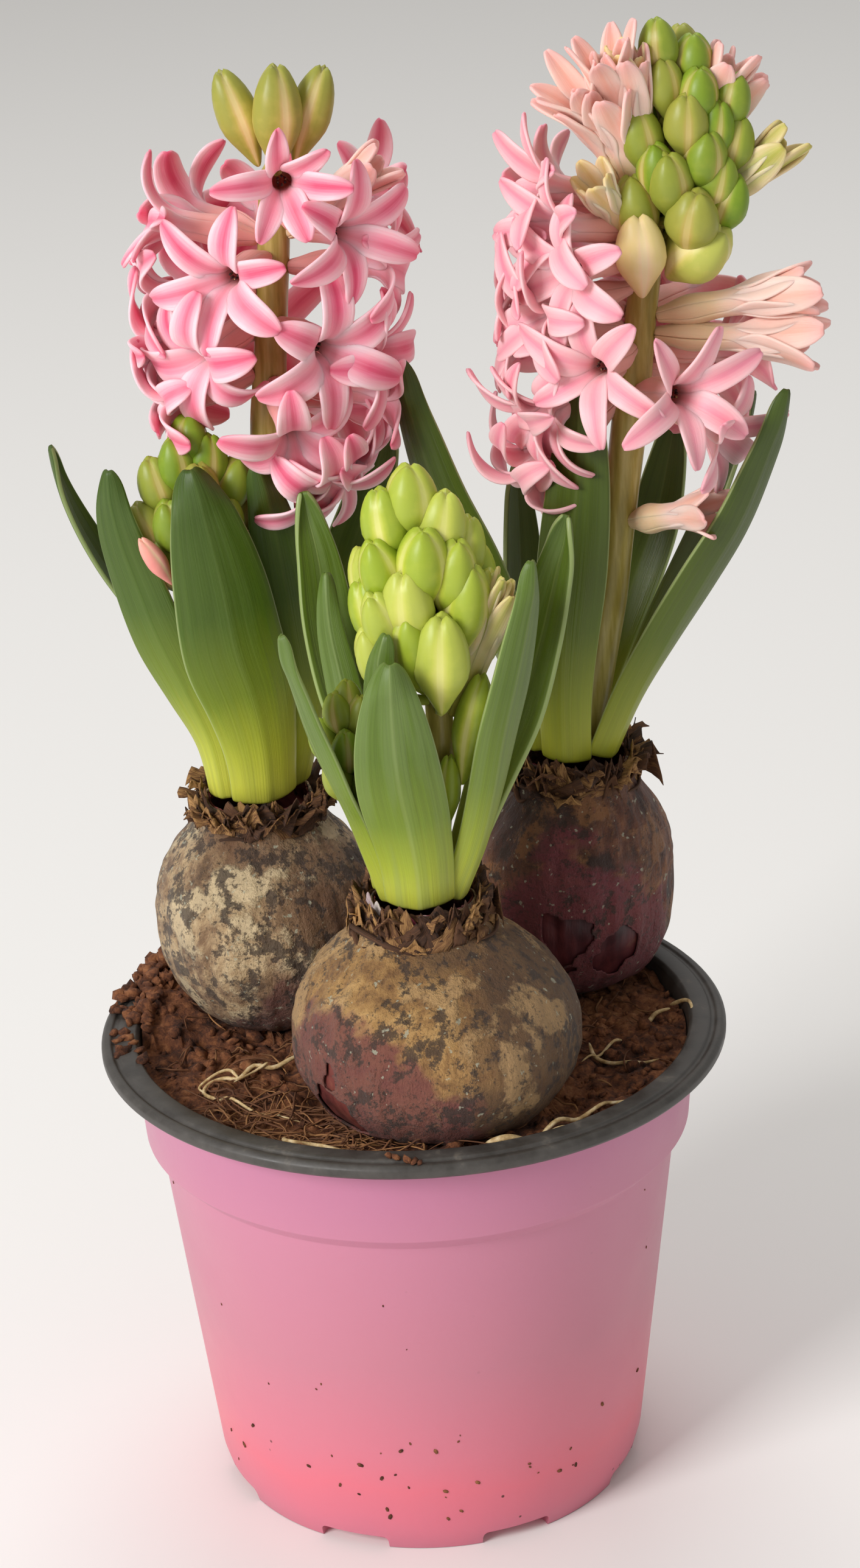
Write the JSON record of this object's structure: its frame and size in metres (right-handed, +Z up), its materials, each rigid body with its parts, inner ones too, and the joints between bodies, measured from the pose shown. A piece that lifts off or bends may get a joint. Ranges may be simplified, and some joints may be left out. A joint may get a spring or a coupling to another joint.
{
  "type": "potted hyacinth plant",
  "caption": "Forced pink hyacinths in a round pink nursery pot: bulbs half out of dark peat, strap leaves, flower spikes in bud and in bloom",
  "frame": {"origin": "centre of the pot's flat floor, on the surface it stands on", "axes": "+Z up along the pot's axis and the stems, -Y towards the front bulb, +X to the right when seen from the front"},
  "size_m": [0.1484, 0.13, 0.3031],
  "materials": {
    "pot": "satin thermoformed polypropylene, mauve pink turning coral pink near the foot, dark grey inside and on the rim",
    "soil": "loose dark peat with fibres",
    "bulb_skin": "papery tan skin over purple, with dark patches",
    "tunic": "torn dry brown scales",
    "leaf": "waxy fleshy leaf, lime at the base",
    "stem": "smooth fleshy olive stem",
    "floret": "waxy pink tepals, deeper down the middle",
    "half_open": "peach pink buds with yellow green keels",
    "bud": "smooth lime green buds",
    "root": "dry cream root"
  },
  "bodies": {
    "root": {"pot": "pot", "soil": "soil", "bulb_front": "bulb_skin", "bulb_left": "bulb_skin", "bulb_right": "bulb_skin", "tunic_front": "tunic", "tunic_left": "tunic", "tunic_right": "tunic", "leaf_left_outer": "leaf", "leaf_left_side": "leaf", "leaf_left_front": "leaf", "leaf_left_inner": "leaf", "leaf_left_back": "leaf", "leaf_front_outer": "leaf", "leaf_front_back": "leaf", "leaf_front_small": "leaf", "leaf_front_main": "leaf", "leaf_front_second": "leaf", "leaf_front_right": "leaf", "leaf_front_far_right": "leaf", "leaf_right_front": "leaf", "leaf_right_outer": "leaf", "leaf_right_far": "leaf", "leaf_right_back": "leaf", "leaf_right_shadow": "leaf", "leaf_right_inner": "leaf", "stem_left": "stem", "stem_front": "stem", "stem_right": "stem", "stem_left_young": "stem", "stem_front_young": "stem", "florets_left": "floret", "florets_right": "floret", "half_open_left": "half_open", "half_open_front": "half_open", "half_open_right_upper": "half_open", "half_open_right_side": "half_open", "bud_left_west": "bud", "bud_left_middle": "bud", "bud_left_east": "bud", "buds_front": "bud", "buds_right": "bud", "buds_left_young": "bud", "buds_front_young": "bud", "root_left": "root", "root_front": "root", "root_right": "root"}
  },
  "joints": []
}
